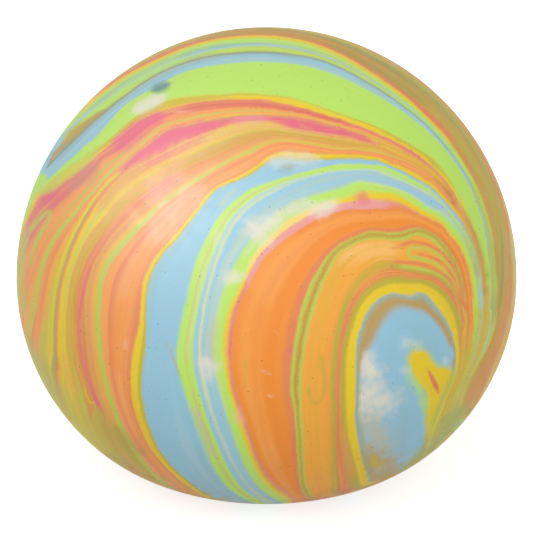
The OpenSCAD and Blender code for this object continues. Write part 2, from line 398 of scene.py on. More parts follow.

# Washes of another colour over the bands: colour, cover, the reaches that they keep to, and brush strokes,
# whose points are in the picture's pixels, each with the stroke's half width there. A spot is smooth and
# lies over every band. A wash of all bands or of the heart is cloudy, and any other is feathered.
# Some washes at the rim paint shade there, and two at the upper left paint part of the highlight.
SPOT = (-60, 260)
ALL = (-50, 250)
HEART = (-20, 0.5)
WASHES = [
    ("nougat", 0.6, (58.5, 62), [
        [(112, 186, 3), (132, 172, 5), (160, 158, 7), (200, 141, 7), (240, 130, 7), (290, 130, 6),
         (335, 137, 4)],
    ]),
    ("sand", 0.85, (56.5, 62.2), [
        [(95, 215, 3), (108, 194, 8), (124, 180, 9), (145, 166, 9), (172, 152, 8), (202, 140, 4)],
    ]),
    ("olive", 0.35, (54.4, 58.6), [
        [(180, 166, 3), (220, 147, 5), (252, 137, 6), (292, 134, 5), (330, 140, 6), (362, 147, 6),
         (395, 153, 4)],
    ]),
    ("rouge", 0.95, (58, 66), [
        [(112, 176, 2), (134, 160, 6), (152, 148, 12), (170, 137, 13), (188, 131, 11), (206, 126, 7),
         (228, 121, 3.5), (254, 118, 2.5), (278, 119, 3.5), (300, 123, 6), (320, 127, 6), (344, 133, 5),
         (366, 140, 3), (388, 149, 1.5)],
    ]),
    ("pink", 0.4, (60, 64.5), [[(222, 122, 5), (250, 118, 5), (278, 118, 5)]]),
    ("rouge", 0.9, (69, 78.2), [
        [(108, 151, 6), (120, 141, 9), (134, 130, 9), (150, 120, 7), (172, 111, 4)],
        [(36, 204, 4), (47, 197, 6), (60, 187, 4)],
    ]),
    ("ruby", 0.7, (71, 77.6), [
        [(174, 110, 5), (210, 105, 6), (250, 104, 5), (290, 110, 5), (330, 121, 5), (352, 128, 4)],
    ]),
    ("mauve", 0.65, (69, 80), [[(66, 190, 6), (84, 176, 8), (102, 161, 6)]]),
    ("straw", 0.85, (76, 80.5), [[(36, 197, 6), (60, 178, 7), (84, 160, 7), (104, 145, 4)]]),
    ("lime", 0.6, (90.8, 96), [[(84, 124, 4), (104, 105, 5), (126, 88, 6), (152, 72, 6), (190, 57, 5)]]),
    ("lime", 0.9, (29.4, 34.1), [
        [(292, 178, 4), (328, 170, 6), (360, 166, 6), (385, 170, 6), (405, 178, 6), (425, 190, 5),
         (440, 202, 3)],
    ]),
    ("lime", 0.8, (31.5, 33.2), [[(187, 350, 6), (191, 375, 7), (197, 398, 5)]]),
    ("beige", 0.8, (32, 34), [[(190, 398, 4), (201, 424, 7), (210, 446, 7), (220, 466, 4)]]),
    ("pond", 0.9, (29.4, 31.2), [
        [(197, 392, 4), (204, 412, 7), (221, 450, 8), (238, 476, 8), (258, 500, 7)],
    ]),
    ("pearl", 0.6, (27, 31.6), [[(206, 350, 4), (206, 370, 6), (210, 388, 3)]]),
    ("orange", 0.6, (13, 23), [
        [(264, 296, 6), (261, 330, 10), (266, 370, 11), (273, 410, 11), (282, 448, 9)],
    ]),
    ("orange", 0.4, (43.5, 49), [[(129, 290, 5), (120, 320, 8), (116, 350, 8), (119, 382, 6)]]),
    ("olive", 0.6, (25.4, 42), [[(461, 221, 3), (470, 240, 5), (476, 262, 5), (479, 288, 4)]]),
    ("lime", 0.5, (27, 33), [[(444, 208, 4), (456, 222, 6), (466, 240, 6), (474, 264, 5)]]),
    ("umber", 0.7, (86, 103), [
        [(489, 236, 3), (494, 262, 5), (496, 285, 6), (493, 310, 6), (489, 330, 4)],
    ]),
    ("peach", 0.6, (55, 110), [[(34, 342, 2), (40, 360, 4), (48, 378, 4), (56, 392, 2)]]),
    # Pale peach at the upper left: partly the rubber's colour, partly a painted highlight where the light
    # shines
    ("shell", 0.6, (43, 51), [[(150, 236, 12), (176, 210, 14), (205, 186, 9)]]),
    ("melon", 0.7, (5.8, 10.8), [[(330, 270, 7), (350, 253, 9), (378, 249, 9), (402, 252, 8)]]),
    ("tangerine", 0.5, (12.6, 24), [[(250, 294, 5), (262, 272, 7), (284, 248, 6), (305, 234, 4)]]),
    ("pink", 0.75, (23.5, 24.9), [
        [(246, 290, 4), (258, 264, 6), (284, 238, 7), (318, 216, 7), (360, 206, 7), (395, 204, 5)],
    ]),
    ("butter", 0.7, (24.5, 25.8), [
        [(244, 274, 4), (262, 248, 6), (285, 227, 7), (312, 210, 6), (345, 199, 3)],
    ]),
    ("haze", 0.7, (25.2, 28.4), [[(240, 262, 3), (256, 240, 6), (280, 217, 8), (312, 200, 6)]]),
    ("coral", 0.6, (12.3, 15), [[(300, 320, 4), (306, 296, 5), (318, 270, 5), (345, 238, 4)]]),
    ("coral", 0.6, (42.6, 45), [[(140, 284, 4), (136, 315, 4), (130, 352, 4)]]),
    ("sand", 0.8, (2.8, 4.6), [[(345, 420, 5), (349, 460, 7), (356, 485, 7)]]),
    ("mist", 0.9, (-0.5, 0.8), [
        [(361, 362, 7), (358, 390, 7), (360, 420, 8), (365, 450, 9), (374, 480, 9)],
    ]),
    ("sky", 0.95, (-0.5, 0.8), [[(449, 346, 4), (453, 360, 5)]]),
    ("lime", 0.6, HEART, [
        [(407, 360, 2), (411, 377, 3.5), (419, 389, 3.5), (424, 405, 3), (425, 425, 2)],
    ]),
    ("fern", 0.85, (87.2, 95.6), [
        [(468, 176, 3), (482, 210, 5), (490, 240, 6), (494, 270, 6), (494, 302, 5)],
    ]),
    ("mud", 0.9, (-6, 1.6), [
        [(454, 364, 2), (452, 380, 4), (447, 393, 5), (442, 407, 5), (437, 422, 5), (431, 442, 5)],
    ]),
    ("brass", 0.6, (56.8, 59.6), [
        [(98, 212, 5), (78, 248, 7), (66, 285, 7), (60, 325, 9), (66, 368, 9)],
    ]),
    ("mud", 0.8, (51.5, 110), [
        [(30, 345, 4), (40, 372, 9), (52, 396, 12), (72, 420, 13), (96, 444, 12), (126, 468, 9)],
    ]),
    ("olive", 0.85, (50.8, 58), [
        [(96, 402, 2), (106, 424, 6), (122, 446, 8), (142, 468, 7), (166, 486, 4)],
    ]),
    ("fern", 0.75, (64, 110), [[(30, 222, 2), (23, 238, 4), (19, 264, 6), (19, 294, 6), (23, 320, 4)]]),
    ("ale", 0.6, (96.2, 101), [[(196, 41, 3), (235, 35, 5), (272, 34, 6), (304, 39, 5), (326, 47, 2)]]),
    ("umber", 0.6, (96.6, 101), [
        [(318, 43, 2), (345, 54, 5), (376, 70, 6), (404, 88, 6), (432, 111, 4)],
    ]),
    ("amber", 0.85, (62.2, 63.9), [[(87, 236, 2), (98, 211, 5), (110, 192, 6), (126, 171, 4)]]),
    # Olive grey at the left rim: partly the rubber's tint, partly painted shade that darkens the rim
    ("sage", 0.35, (55, 110), [[(25, 330, 4), (36, 358, 5), (52, 388, 5), (66, 404, 5)]]),
    ("mud", 0.8, (1.5, 102), [
        [(479, 300, 3), (479, 330, 6), (474, 350, 8), (466, 375, 9), (456, 400, 11), (446, 422, 12),
         (434, 445, 10)],
    ]),
    ("fern", 0.5, (60, 100), [
        [(488, 252, 3), (490, 275, 5), (490, 300, 6), (486, 325, 6), (478, 352, 5)],
    ]),
    ("sienna", 0.85, (60, 112), [
        [(511, 275, 2), (509, 300, 4), (504, 325, 5), (498, 345, 6), (489, 364, 6), (479, 384, 6),
         (470, 401, 6), (462, 414, 4)],
    ]),
    ("olive", 0.7, (95.4, 99.6), [
        [(446, 130, 3), (470, 164, 6), (484, 195, 7), (493, 225, 7), (498, 255, 7), (499, 290, 6)],
    ]),
    # Pinkish white at the upper left: partly the rubber's colour, partly a painted highlight
    ("pink", 0.4, ALL, [[(146, 198, 7), (164, 186, 9), (186, 174, 7)]]),
    ("pearl", 0.6, ALL, [
        [(262, 165, 3), (276, 161, 5), (292, 160, 6), (312, 161, 5), (328, 162, 3)],
        [(281, 212, 4), (300, 206, 5), (316, 200, 3)],
        [(402, 341, 4), (408, 343, 4)],
        [(404, 368, 4), (406, 372, 3)],
        [(444, 367, 2), (447, 357, 2)],
    ]),
    ("beige", 0.6, ALL, [[(216, 314, 3), (212, 336, 5), (212, 356, 5), (218, 376, 3)]]),
    ("cream", 0.8, ALL, [
        [(238, 216, 4), (254, 227, 7), (272, 245, 4)],
        [(254, 238, 4), (268, 225, 6), (290, 212, 4)],
        [(306, 214, 3), (322, 208, 6), (342, 203, 3)],
        [(220, 279, 4), (232, 277, 5), (246, 275, 4)],
        [(198, 356, 4), (210, 364, 5), (224, 374, 4)],
    ]),
    ("beige", 0.75, HEART, [
        [(361, 404, 6), (368, 420, 10), (375, 434, 12), (382, 446, 10), (390, 458, 6)],
        [(365, 440, 4), (370, 451, 6), (376, 460, 4)],
    ]),
    ("cream", 0.95, HEART, [
        [(360, 350, 5), (367, 364, 8), (372, 372, 7), (386, 380, 4)],
        [(354, 396, 7), (368, 400, 11), (382, 400, 11), (400, 398, 5)],
    ]),
    ("haze", 0.6, ALL, [[(410, 344, 5), (420, 347, 4)], [(214, 246, 3), (221, 229, 4)]]),
    ("brown", 0.9, ALL, [
        [(364, 450, 5), (376, 460, 9), (390, 468, 7)],
        [(368, 474, 5), (384, 475, 8), (402, 472, 5)],
        [(378, 474, 6), (390, 469, 9), (400, 461, 6)],
        [(416, 297, 2), (422, 303, 3.5), (428, 309, 2)],
        [(485, 285, 2), (486, 297, 2)],
    ]),
    ("sky", 0.85, SPOT, [[(44, 168, 2.5), (52, 152, 5), (60, 141, 5), (70, 129, 2.5)]]),
    ("ale", 0.85, SPOT, [
        [(44, 168, 1), (55, 154, 2.2), (64, 144, 2.5), (74, 133, 5), (88, 122, 3), (112, 104, 1.5)],
    ]),
    # Brownish olive along the lower left rim: partly the rubber's tint, partly painted shade that darkens the
    # bottom
    ("brown", 0.85, ALL, [
        [(96, 452, 5), (124, 473, 8), (152, 488, 9), (184, 499, 8), (225, 508, 6), (262, 510, 4)],
    ]),
    ("brass", 0.8, HEART, [[(369, 455, 3), (377, 463, 5), (380, 474, 4)]]),
    # Painted shade: a dark line along the bottom rim, where the ball meets the floor
    ("brick", 0.5, ALL, [[(268, 509, 3), (300, 504, 4), (330, 497, 4), (362, 487, 4)]]),
    # Olive at the lower right rim: partly the rubber's tint, partly painted shade that darkens the rim
    ("jade", 0.9, ALL, [
        [(468, 400, 2), (460, 411, 5), (450, 424, 7), (436, 442, 6), (418, 458, 5), (392, 477, 3)],
    ]),
    ("brick", 0.75, ALL, [[(432, 175, 1.5), (446, 190, 2), (457, 206, 2), (463, 217, 1.5)]]),
    ("umber", 0.5, ALL, [
        [(462, 205, 2), (471, 226, 2), (479, 250, 2.5), (484, 274, 2.5), (486, 292, 2)],
        [(112, 424, 3), (128, 440, 5), (152, 464, 5)],
        [(276, 172, 2), (287, 168, 3), (299, 165, 2)],
    ]),
    ("cream", 0.9, SPOT, [[(125, 116, 3), (140, 108, 6), (156, 100, 6), (174, 91.5, 3)]]),
    ("teal", 0.95, SPOT, [[(146, 93, 3), (160, 87.5, 5), (175, 81.5, 3)]]),
    ("ruby", 0.95, SPOT, [[(423, 360, 1), (431, 376, 2), (437, 389, 2.6), (442, 402, 1)]]),
    ("rouge", 0.7, ALL, [
        [(357, 196, 3.5), (362, 197, 5), (367, 198, 3.5)],
        [(231, 328, 1.5), (230, 362, 1.5)],
        [(290, 340, 1.5), (290, 358, 1.5)],
        [(92, 392, 1.2), (100, 408, 1.5)],
    ]),
    ("shell", 0.65, ALL, [
        [(236, 405, 3), (243, 428, 4)],
        [(126, 338, 1.5), (125, 352, 1.5)],
        [(259, 369, 1), (274, 376, 1.5)],
        [(264, 394, 1), (276, 398, 1.2)],
        [(272, 330, 0.8), (280, 335, 1.2)],
    ]),
    ("olive", 0.5, ALL, [
        [(246, 350, 1.5), (246, 396, 1.5)],
        [(320, 350, 2), (324, 376, 2.5)],
        [(309, 384, 1.5), (310, 398, 1.5)],
        [(133, 306, 1.5), (131, 316, 2)],
    ]),
]

# Thin lines of another colour: colour, cover, and for each line its half width and its points in pixels
STREAKS = [
    ("olive", 0.45, [
        (1.3, [(164, 338), (168, 346), (172, 355), (177, 368), (183, 383)]),
        (2.2, [(309, 384), (309, 395), (314, 403), (321, 399), (324, 387), (323, 367), (321, 352)]),
    ]),
    ("fern", 0.9, [
        (2.2, [(464, 325), (457, 292), (441, 268), (425, 259.5), (411, 257), (408, 252), (413, 247.5),
               (428, 249.5), (443, 259), (456, 276), (465, 306)]),
        (2.2, [(27, 234), (33, 227), (39, 220), (45, 214), (49, 211.5), (50, 215), (47, 222), (42, 231),
               (37, 241), (33, 252), (30, 270)]),
    ]),
    ("fern", 0.9, [
        (2.0, [(463, 330), (460, 305), (451, 284), (440, 275), (420, 269), (396, 266)]),
    ]),
    ("coral", 0.9, [
        (1.8, [(386, 250), (402, 245), (412, 242), (428, 245), (442, 253), (453, 267), (461, 286),
               (467, 316)]),
    ]),
    ("coral", 0.9, [
        (1.6, [(414, 252.5), (436, 259), (447, 268), (457, 285), (464, 310)]),
    ]),
    ("coral", 0.9, [
        (1.8, [(388, 261), (420, 264), (438, 271), (450, 281), (459, 301), (464, 328)]),
    ]),
    ("rouge", 0.6, [
        (1.6, [(92, 262), (85, 286), (80, 312), (80, 340), (85, 368), (93, 393), (104, 418)]),
    ]),
    ("shell", 0.7, [
        (1.2, [(172, 112), (185, 111.5), (198, 113)]),
    ]),
    ("sun", 0.6, [
        (1.4, [(84, 382), (86, 395), (91, 403), (97, 401)]),
    ]),
    ("tan", 0.5, [
        (2.0, [(217, 211), (222, 203), (229, 195), (239, 187)]),
        (1.4, [(362, 358), (361.5, 375), (361.5, 395), (362, 412)]),
    ]),
]

# Fine veins drawn out along the bands: reach from and to, which noise they follow, whether its high or low
# side, colour and cover
VEINS = [
    (-20, 0, "wide", 1, "pearl", 0.12),
    (-20, 0, "wide", -1, "mist", 0.25),
    (1, 5, "fine", 1, "amber", 0.4),
    (3.4, 6.4, "fine", -1, "apricot", 0.5),
    (5.6, 11, "fine", 1, "coral", 0.2),
    (5.6, 11, "fine", -1, "brass", 0.3),
    (6, 11, "mid", 1, "tangerine", 0.4),
    (12.4, 23.8, "wide", 1, "tangerine", 0.2),
    (12.4, 23.8, "wide", -1, "clay", 0.25),
    (25.3, 34, "fine", 1, "tan", 0.25),
    (25.3, 34, "mid", -1, "haze", 0.35),
    (27.3, 29.5, "fine", -1, "sky", 0.6),
    (34, 39.6, "mid", 1, "pearl", 0.12),
    (34, 39.6, "wide", -1, "mist", 0.25),
    (40, 43.4, "fine", 1, "amber", 0.5),
    (43, 50, "mid", 1, "shell", 0.2),
    (43, 50, "fine", -1, "coral", 0.35),
    (50.6, 61.4, "fine", 1, "amber", 0.5),
    (50.6, 61.4, "mid", -1, "blush", 0.4),
    (50.6, 61.4, "mid", 1, "straw", 0.6),
    (50.6, 61.4, "fine", -1, "peach", 0.5),
    (61.4, 64, "mid", 1, "coral", 0.6),
    (61.4, 64, "mid", -1, "sand", 0.6),
    (63.6, 77, "mid", 1, "amber", 0.55),
    (63.6, 77, "mid", -1, "coral", 0.4),
    (63.6, 77, "wide", 1, "fern", 0.5),
    (79, 87, "wide", 1, "straw", 0.15),
    (76.8, 79, "mid", -1, "olive", 0.6),
    (87, 96, "mid", 1, "straw", 0.3),
    (87, 96, "mid", -1, "mist", 0.5),
    (89, 96, "wide", 1, "brass", 0.2),
    (97, 108, "mid", 1, "ochre", 0.35),
    (97, 108, "mid", -1, "sage", 0.35),
    (97, 108, "wide", 1, "brass", 0.6),
    (106, 150, "mid", 1, "amber", 0.4),
    (106, 150, "mid", -1, "coral", 0.35),
    (106, 150, "wide", 1, "straw", 0.35),
    (106, 150, "fine", -1, "shell", 0.35),
]
# Noises of the veins: length along the bands in millimetres, and width as a reach
VEIN_SIZES = {"fine": (30, 0.7), "mid": (34, 1.5), "wide": (40, 3.2)}

# The flame of yellow inside the heart of the swirl, as an outline in the picture's pixels
FLAME = [
    (409, 358), (412, 351), (419, 350), (427, 353), (432, 361), (438, 367), (446, 368), (451, 373),
    (448, 385), (441, 398), (438, 412), (434, 426), (429, 444), (427, 432), (427, 412), (427, 394),
    (419, 384), (413, 373),
]

# Fineness of the round pieces: steps along each arc of a section, and sides about the axis
OUTLINE_STEPS = 400
INNER_STEPS = 22
DOUGH_STEPS = 40
FILLET_STEPS = 7
LIP_STEPS = 5
DOUGH_SIDES = 128
# A point nearer to the axis than this, in metres, lies on it
AXIS_R = 1e-7
# Decimals that turns about the axis, in radians, are rounded to before they are sorted
TURN_DECIMALS = 6
# Angles in degrees over which an edge stays crisp
SKIN_CREASE = 35
DOUGH_CREASE = 50
FLOOR_CREASE = 180

# Stretch of a sight line searched for the ball, in radii before and behind its middle, and points tried
SIGHT_NEAR = 1.3
SIGHT_FAR = 0.6
SIGHT_POINTS = 1500

# Steps in pixels along a line: a guide of the swirl, an edge that holds it, a brush stroke, a thin line
GUIDE_STEP = 9.0
TRACE_STEP = 2.0
STROKE_STEP = 3.0
LINE_STEP = 2.0

# The swirl's field: how softly it bends at its guides in millimetres, how freely it may miss them,
# and how many points are worked out at once
FIELD_SOFTNESS = 1.2
FIELD_SLACK = 0.002
FIELD_BATCH = 4000
# How strongly traced edges hold the reach, how far from them it is evened out, and in how many rounds
EDGE_PULL = 20.0
EDGE_SPAN = 9 * MM
EVENING_ROUNDS = 250

# A brush stroke: where its field reaches 0, in half widths, the longest fade of its ends in pixels and as
# a share of its length, and the field well away from it
WASH_ROOM = 1.5
WASH_FADE = 16.0
WASH_FADE_SHARE = 0.35
NO_WASH = -1.0
# A thin line: room on either side and fade of its ends in pixels, strength at its tips, and the offset
# in half widths well away from it
STREAK_ROOM = 4.0
STREAK_FADE = 14.0
STREAK_TIP = 0.3
NO_STREAK = 9.0
# Depth in pixels up to which the flame's field is kept, inside and outside it
FLAME_ROOM = 20.0
# How far the surface turns away past the rim, as a cosine, before what is drawn on it has faded
RIM_FADE = 0.4

# How far to either side colours blend, the samples taken for it, how far the first band runs inwards,
# as a reach, and the bands that one colour ramp holds
BLEND = 0.17 * MM
BLEND_STEPS = 4
HEART_DEPTH = 6
RAMP_BANDS = 16
# Reaches at which the bands start, with the end of the last, and how softly each of these blends
BAND_STARTS = [BANDS[0][0] - HEART_DEPTH] + [edge for edge, name, soft in BANDS]
BAND_SOFTS = [0] + [soft for edge, name, soft in BANDS]
# How softly a stretch of reaches starts and ends, as a reach and at most as a share of the stretch
STRETCH_SOFT = 0.6
STRETCH_SHARE = 1 / 4

# Sockets that Blender's Mix node has for colours: share, first and second, and the result
MIX_INPUTS = (0, 6, 7)
MIX_OUTPUT = 2

# Noises of the rubber: size of their features in millimetres, detail and roughness
NOISES = {
    "wander": (2.2, 3, 0.5),
    "grain": (0.22, 2, 0.5),
    "cloud": (2.4, 5, 0.6),
    "ragged": (1.6, 5, 0.65),
    "uneven": (3.0, 3, 0.5),
    "shine": (2.5, 4, 0.5),
    "relief": (0.45, 3, 0.5),
}
NOISE_MIDDLE = 0.5
# Values of a noise between which a ramp runs
NOISE_SPAN = (0.3, 0.7)
# How far the bands' edges wander and how grainy they are, in millimetres, and the noise that they drift by,
# with its length in millimetres, its width as a reach, and how far it moves them, as a reach
WANDER_SWING = 0.45
GRAIN_SWING = 0.6
DRIFT_SIZE = (14, 0.9)
DRIFT_SWING = 0.7
# How far from its middle a noise is where a vein starts and where it is full
VEIN_START = 0.02
VEIN_FULL = 0.14
# How ragged washes are: their clouds, and streaks along the bands with a share of the clouds
CLOUD_SWING = 2.6
FEATHER_SWING = 2.2
FEATHER_CLOUD = 0.35
# Values of a wash's field from which it shows and at which it is full
SPOT_EDGE = (-0.1, 0.9)
CLOUDY_EDGE = (-0.6, 1.2)
FEATHERED_EDGE = (-0.3, 1.0)
# The flame's ragged edge, its halo and its body, as depths in pixels, and the halo's cover
FLAME_RAGGED = 6
HALO_EDGE = (-6, -1)
HALO_COVER = 0.6
FLAME_EDGE = (-1.5, 2.5)
# Thin lines: offsets in half widths where one starts and is full, the strengths between which it comes in,
# and the values of a noise with the covers that they give
STREAK_EDGE = (1.7, 0.2)
STREAK_STRENGTH = (0.3, 0.9)
UNEVEN_SPAN = (0.25, 0.6)
UNEVEN_COVER = (0.5, 1)

# Pores: gap and radius in millimetres and the share kept, how dark they are as painted shade in the pits, how
# deep against the relief, and the share of a pore's radius within which it is full
PORES = [(1.7, 0.17, 0.6), (0.9, 0.09, 0.5)]
PORE_SHADE = 0.5
PORE_DEPTH = 2
PORE_CORE = 0.4
# Surface of the rubber: roughness between two values, shine, and bumps with their depth in millimetres
RUBBER_ROUGHNESS = (0.5, 0.6)
RUBBER_SPECULAR = 0.3
RUBBER_BUMP = 0.25
RELIEF_DEPTH = 0.03

# Soft materials of one colour: colour, roughness, and the grain's size and depth in millimetres
SOFT_MATERIALS = {
    "gummy_dough": ("dough", 0.8, 0.8, 0.1),
    "matte_stopper": ("stopper", 0.7, 0.3, 0.03),
    "dried_sealer": ("sealer", 0.3, 1.2, 0.1),
}
# Materials of the solids that are kept
CLOSING = {"fill_stopper": "matte_stopper", "sealing_disc": "dried_sealer"}
# How the soft materials are mottled: size in grains, detail and roughness of the noise, and the least share
# of colour and roughness. Then the detail and strength of their grain.
MOTTLE_SIZE = 6
MOTTLE_NOISE = (4, 0.6)
MOTTLE_LEAST = 0.85
GRAIN_DETAIL = 3
GRAIN_BUMP = 0.4

# Lamps: place and width in metres, power in watts, and whether it lights surfaces or only shines on them
LAMPS = {
    "key": ((-0.2, -0.55, 0.65), 0.7, 2.6, True),
    "fill": ((0.4, -0.75, 0.25), 0.7, 1.4, True),
    "sheen": ((-0.6, -0.31, 0.64), 0.6, 28.0, False),
}
WHITE = (1, 1, 1, 1)
# Strength of the light from all round, where the background isn't seen itself
WORLD_LIGHT = 0.6
# The floor: half its width in metres, how far it lies under the ball, its own colour, roughness and glow
FLOOR_SIZE = 3.0
FLOOR_GAP = 0.05 * MM
FLOOR_GREY = (0.6, 0.6, 0.6, 1)
FLOOR_ROUGHNESS = 0.9
FLOOR_GLOW = 0.75


def smooth_step(low, high, value):
    """Rises from 0 at low to 1 at high."""
    share = np.clip((value - low) / (high - low), 0, 1)
    return share * share * (3 - 2 * share)


def arc(centre, radius, start, end, steps):
    """Points (r, z) along an arc, with its angles in radians."""
    angle = np.linspace(start, end, steps)
    return np.column_stack([centre[0] + radius * np.cos(angle), centre[1] + radius * np.sin(angle)])


def ball_outline(inset, steps):
    """Half section of the ball from the top down to the edge of its flat patch, taken in by a wall."""
    oval_x = BALL_R - BASE_R
    oval_z = EQUATOR_H
    diagonal = math.hypot(oval_x, oval_z)
    flank_r = (diagonal + oval_z - oval_x) / 2 * diagonal / oval_x
    heel_r = (diagonal - oval_z + oval_x) / 2 * diagonal / oval_z
    flank_centre = (BALL_R - flank_r, EQUATOR_H)
    heel_centre = (BASE_R, heel_r)
    meeting = math.atan2(heel_centre[1] - flank_centre[1], heel_centre[0] - flank_centre[0])
    return np.vstack([
        arc((0, EQUATOR_H), BALL_R - inset, math.pi / 2, 0, steps),
        arc(flank_centre, flank_r - inset, 0, meeting, steps)[1:],
        arc(heel_centre, heel_r - inset, meeting, -math.pi / 2, steps)[1:],
    ])


OUTLINE = ball_outline(0, OUTLINE_STEPS)


def view_axes():
    """The camera's place, and its axes to the right, up and forward."""
    tilt_cos, tilt_sin = math.cos(CAMERA_ELEVATION), math.sin(CAMERA_ELEVATION)
    back = np.array([0, -tilt_cos, tilt_sin])
    place = np.array(CAMERA_TARGET) + CAMERA_DISTANCE * back
    return place, np.array([1.0, 0, 0]), np.array([0, tilt_sin, tilt_cos]), -back


def add_camera():
    """The camera, on the side that the picture was taken from."""
    place, right, up, forward = view_axes()
    data = bpy.data.cameras.new("camera")
    data.lens = LENS
    data.sensor_width = SENSOR
    data.clip_start = CAMERA_CLIP
    camera = bpy.data.objects.new("camera", data)
    camera.location = place
    camera.rotation_euler = Vector(forward).to_track_quat("-Z", "Y").to_euler()
    bpy.context.scene.collection.objects.link(camera)
    bpy.context.scene.camera = camera


def to_picture(points):
    """Pixels at which points of the ball show in the picture."""
    place, right, up, forward = view_axes()
    offset = points - place
    depth = offset @ forward
    return np.column_stack([
        PICTURE / 2 + FOCAL * (offset @ right) / depth,
        PICTURE / 2 - FOCAL * (offset @ up) / depth,
    ])


def radius_at(height):
    """Radius of the ball's outline at a height."""
    return np.interp(height, OUTLINE[::-1, 1], OUTLINE[::-1, 0])


def outside_ball(points):
    """How far points lie outside the ball, level and upright together, and 0 or less inside it."""
    x, y, z = points.T
    above = np.maximum(z - OUTLINE[0, 1], 0)
    below = np.maximum(-z, 0)
    return np.hypot(x, y) - radius_at(z) + (above + below)


def on_ball(pixels):
    """Points of the ball that show at these pixels, or the nearest on its rim for pixels just outside."""
    place, right, up, forward = view_axes()
    pixels = np.asarray(pixels, float)
    ray = forward + np.outer((pixels[:, 0] - PICTURE / 2) / FOCAL, right)
    ray -= np.outer((pixels[:, 1] - PICTURE / 2) / FOCAL, up)
    ray /= np.linalg.norm(ray, axis=1)[:, None]
    near = CAMERA_DISTANCE - SIGHT_NEAR * BALL_R
    far = CAMERA_DISTANCE + SIGHT_FAR * BALL_R
    distance = np.linspace(near, far, SIGHT_POINTS)
    found = np.empty((len(pixels), 3))
    for i, direction in enumerate(ray):
        along = place + distance[:, None] * direction
        outside = outside_ball(along)
        inside = np.flatnonzero(outside <= 0)
        found[i] = along[inside[0]] if len(inside) else along[np.argmin(outside)]
    return found


def spline(points, step):
    """Points every step along a smooth line through the given points."""
    p = np.array(points, float)
    p = np.vstack([2 * p[0] - p[1], p, 2 * p[-1] - p[-2]])
    pieces = []
    for a, b, c, d in zip(p, p[1:], p[2:], p[3:]):
        count = max(1, round(float(np.linalg.norm(c - b)) / step))
        t = np.linspace(0, 1, count, endpoint=False)[:, None]
        cubic = 3 * b - a - 3 * c + d
        square = 2 * a - 5 * b + 4 * c - d
        pieces.append(0.5 * (2 * b + (c - a) * t + square * t**2 + cubic * t**3))
    return np.vstack(pieces + [p[-2:-1]])


def unseen_points():
    """Places of the ball's far sides where the swirl's reach is given."""
    turn, height, reach = np.array(UNSEEN, float).T
    turn = np.radians(turn)
    height = height * MM
    radius = radius_at(height)
    return np.column_stack([radius * np.sin(turn), -radius * np.cos(turn), height]), reach


class Swirl:
    """A smooth field over the ball that gives the reach of the swirl at any point."""

    def __init__(self):
        places, reaches = unseen_points()
        places, reaches = [places], [reaches]
        for reach, points in EDGES.values():
            line = on_ball(spline(points, GUIDE_STEP))
            places.append(line)
            reaches.append(np.full(len(line), reach))
        self.places = np.vstack(places) / MM
        values = np.concatenate(reaches)
        count = len(values)
        kernel = -np.sqrt(self.squared_gaps(self.places) + FIELD_SOFTNESS**2)
        flat = np.column_stack([np.ones(count), self.places])
        terms = flat.shape[1]
        matrix = np.zeros((count + terms, count + terms))
        matrix[:count, :count] = kernel + FIELD_SLACK * np.eye(count)
        matrix[:count, count:] = flat
        matrix[count:, :count] = flat.T
        weights = np.linalg.solve(matrix, np.concatenate([values, np.zeros(terms)]))
        self.pull, self.level, self.slope = weights[:count], weights[count], weights[count + 1:]

    def squared_gaps(self, points):
        """Squared distances from points to the places where the reach is given, in square millimetres."""
        sums = (points**2).sum(1)[:, None] + (self.places**2).sum(1)
        return np.maximum(sums - 2 * points @ self.places.T, 0)

    def at(self, points):
        """Reach at points in metres."""
        reach = np.empty(len(points))
        for start in range(0, len(points), FIELD_BATCH):
            some = slice(start, start + FIELD_BATCH)
            p = points[some] / MM
            gap = np.sqrt(self.squared_gaps(p) + FIELD_SOFTNESS**2)
            reach[some] = self.level + p @ self.slope - gap @ self.pull
        return reach


class TracedEdges:
    """Points along the traced edges, with the face that each lies in and its share of every corner."""

    def __init__(self, points, faces):
        lines = [on_ball(spline(guide, TRACE_STEP)) for reach, guide in EDGES.values()]
        reaches = [reach for reach, guide in EDGES.values()]
        self.reach = np.repeat(reaches, [len(line) for line in lines])
        self.places = np.vstack(lines)
        surface = BVHTree.FromPolygons([tuple(p) for p in points], [tuple(map(int, f)) for f in faces])
        corners, shares = [], []
        for place in self.places:
            near, normal, face, gap = surface.find_nearest(place)
            corners.append(faces[face])
            shares.append(poly_3d_calc([Vector(points[n]) for n in faces[face]], near))
        self.corners, self.shares = np.array(corners), np.array(shares)

    def read(self, values):
        """Values of the vertices, read at the traced points."""
        return (values[self.corners] * self.shares).sum(1)

    def spread(self, values, count):
        """Values at the traced points, shared out to the vertices."""
        return np.bincount(self.corners.ravel(), (values[:, None] * self.shares).ravel(), count)

    def gaps(self, points):
        """Distance from each point to the nearest traced one."""
        tree = KDTree(len(self.places))
        for n, place in enumerate(self.places):
            tree.insert(place, n)
        tree.balance()
        return np.array([tree.find(p)[2] for p in points])


def even_out(reach, edges, gaps, pairs):
    """Evens the reach out between traced edges, by conjugate gradients, so that it never swings past
    the values on either side."""
    first, second = pairs.T
    free = gaps < EDGE_SPAN
    count = len(reach)
    degree = np.bincount(first, minlength=count) + np.bincount(second, minlength=count)
    scale = degree + EDGE_PULL * np.bincount(edges.corners.ravel(), (edges.shares**2).ravel(), count)

    def tension(value):
        near = np.bincount(first, value[second], count) + np.bincount(second, value[first], count)
        return degree * value - near

    def stiffness(value):
        return np.where(free, tension(value) + EDGE_PULL * edges.spread(edges.read(value), count), 0)

    miss = edges.reach - edges.read(reach)
    residue = np.where(free, EDGE_PULL * edges.spread(miss, count) - tension(reach), 0)
    step = residue / scale
    power = residue @ step
    change = np.zeros(count)
    for _ in range(EVENING_ROUNDS):
        pushed = stiffness(step)
        share = power / (step @ pushed)
        change += share * step
        residue -= share * pushed
        fresh = residue / scale
        old_power, power = power, residue @ fresh
        step = fresh + power / old_power * step
    return reach + change


